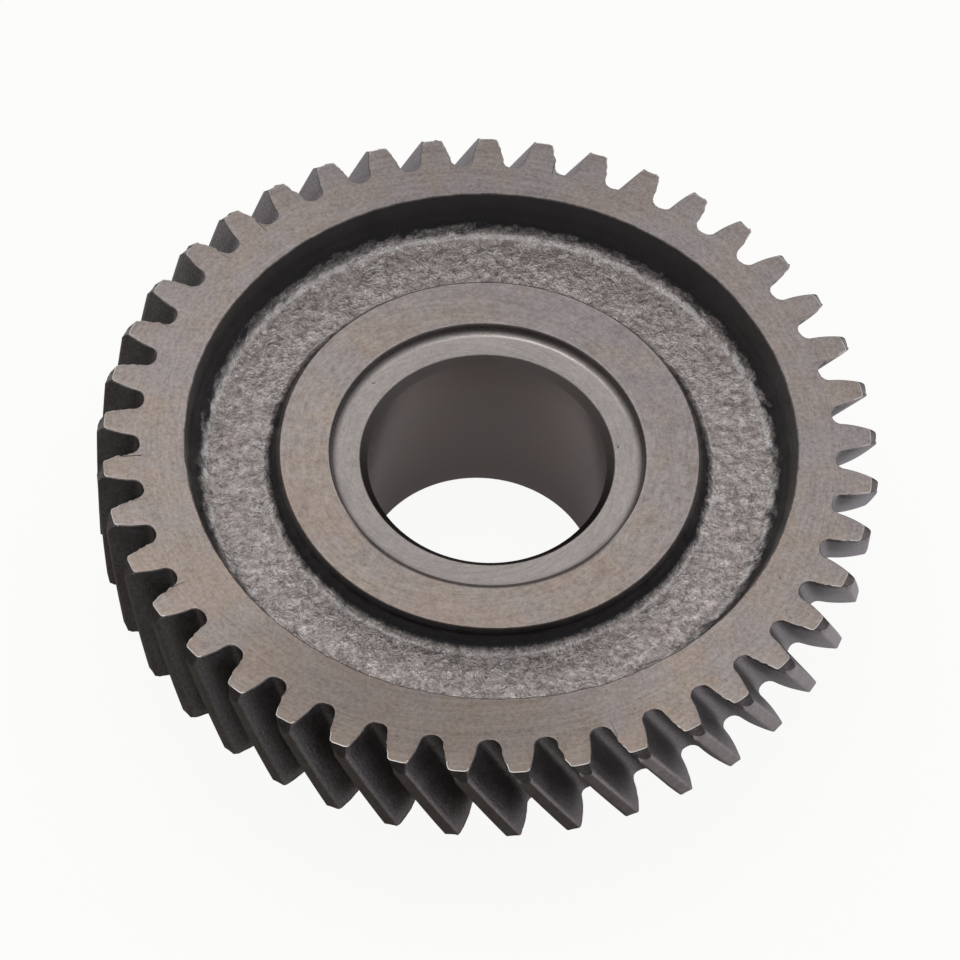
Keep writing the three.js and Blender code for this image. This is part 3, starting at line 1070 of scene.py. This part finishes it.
def add_camera():
    """A long lens that looks down on the front face."""
    turn = Matrix.Rotation(CAMERA_AZIMUTH, 3, "Z")
    up = Vector((0, math.sin(CAMERA_ELEVATION), math.cos(CAMERA_ELEVATION)))
    forward = turn @ Vector((0, math.cos(CAMERA_ELEVATION), -math.sin(CAMERA_ELEVATION)))
    level_right = turn @ Vector((1, 0, 0))
    level_up = turn @ up
    rolled_right = math.cos(CAMERA_ROLL) * level_right - math.sin(CAMERA_ROLL) * level_up
    rolled_up = math.sin(CAMERA_ROLL) * level_right + math.cos(CAMERA_ROLL) * level_up
    aim = Vector((0, 0, RIM_FACE))
    back = CAMERA_SIDE * rolled_right + CAMERA_RISE * rolled_up + CAMERA_DISTANCE * forward
    place = (aim - back) * MM
    data = bpy.data.cameras.new("camera")
    data.lens = LENS
    data.sensor_width = SENSOR
    data.clip_start = 0.05
    data.clip_end = 50
    camera = bpy.data.objects.new("camera", data)
    axes = Matrix((rolled_right, rolled_up, -forward)).transposed()
    camera.matrix_world = Matrix.Translation(place) @ axes.to_4x4()
    bpy.context.scene.collection.objects.link(camera)
    bpy.context.scene.camera = camera


def floor_material():
    """Pale to the camera. To the gear it is a glow, brightest at the back and on the right."""
    material, graph, surface = new_material("pale_floor")
    place = Place(graph)
    across = towards(graph, place.point, CAMERA_AZIMUTH)
    away = towards(graph, place.point, CAMERA_AZIMUTH + math.pi / 2)
    lit = graph.math("MAXIMUM", graph.spread(across, 42, 95), graph.spread(away, -10, 120))
    glow = graph.mix(lit, *FLOOR_GLOW)
    seen = graph.node("ShaderNodeLightPath", output=0)
    matt = graph.node("ShaderNodeBsdfDiffuse", {"Color": FLOOR_PAINT})
    white = graph.node("ShaderNodeEmission", {"Color": FLOOR_WHITE, "Strength": 1.03})
    shown = graph.node("ShaderNodeMixShader", {0: 0.9, 1: matt, 2: white})
    hidden = graph.node("ShaderNodeEmission", {"Color": glow, "Strength": 1.0})
    shader = graph.node("ShaderNodeMixShader", {0: seen, 1: hidden, 2: shown})
    graph.tree.links.new(shader, surface)
    return material


def add_floor():
    """A square floor just under the gear."""
    half = FLOOR_SIZE / 2
    corners = [(-half, -half, 0), (half, -half, 0), (half, half, 0), (-half, half, 0)]
    mesh = bpy.data.meshes.new("floor")
    mesh.from_pydata(corners, [], [(0, 1, 2, 3)])
    mesh.materials.append(floor_material())
    floor = bpy.data.objects.new("floor", mesh)
    floor.location.z = cad_low.z - FLOOR_GAP
    bpy.context.scene.collection.objects.link(floor)


def add_world():
    """Light from all round as soft lobes; to the camera the background is near white."""
    world = bpy.data.worlds.new("studio")
    bpy.context.scene.world = world
    world.use_nodes = True
    tree = world.node_tree
    tree.nodes.clear()
    graph = Graph(tree)
    direction = graph.node("ShaderNodeTexCoord", output=0)
    light = (LIGHT_BASE, LIGHT_BASE, LIGHT_BASE)
    for azimuth, elevation, sharpness, strength, colour in LIGHT_LOBES:
        turn = math.radians(azimuth) + CAMERA_AZIMUTH
        rise = math.radians(elevation)
        towards = (math.cos(rise) * math.cos(turn), math.cos(rise) * math.sin(turn), math.sin(rise))
        facing = graph.math("MAXIMUM", graph.dot(direction, towards), 0.0)
        amount = graph.times(graph.math("POWER", facing, sharpness), strength)
        light = graph.sum(light, graph.scaled(colour, amount))
    seen = graph.node("ShaderNodeLightPath", output=0)
    colour = graph.mix(seen, light, BACKGROUND_WHITE)
    background = graph.node("ShaderNodeBackground", {"Color": colour, "Strength": 1.0})
    output = tree.nodes.new("ShaderNodeOutputWorld")
    tree.links.new(background, output.inputs["Surface"])


def add_key_light():
    """A small soft panel high up behind the gear on the left."""
    data = bpy.data.lights.new("key", "AREA")
    data.shape = "DISK"
    data.size = KEY_SIZE
    data.energy = KEY_POWER
    lamp = bpy.data.objects.new("key", data)
    lamp.location = KEY_PLACE
    lamp.rotation_euler = (KEY_AIM - KEY_PLACE).to_track_quat("-Z", "Y").to_euler()
    bpy.context.scene.collection.objects.link(lamp)


add_gear()
add_floor()
add_world()
add_key_light()
add_camera()
bpy.context.scene.view_settings.view_transform = "Standard"
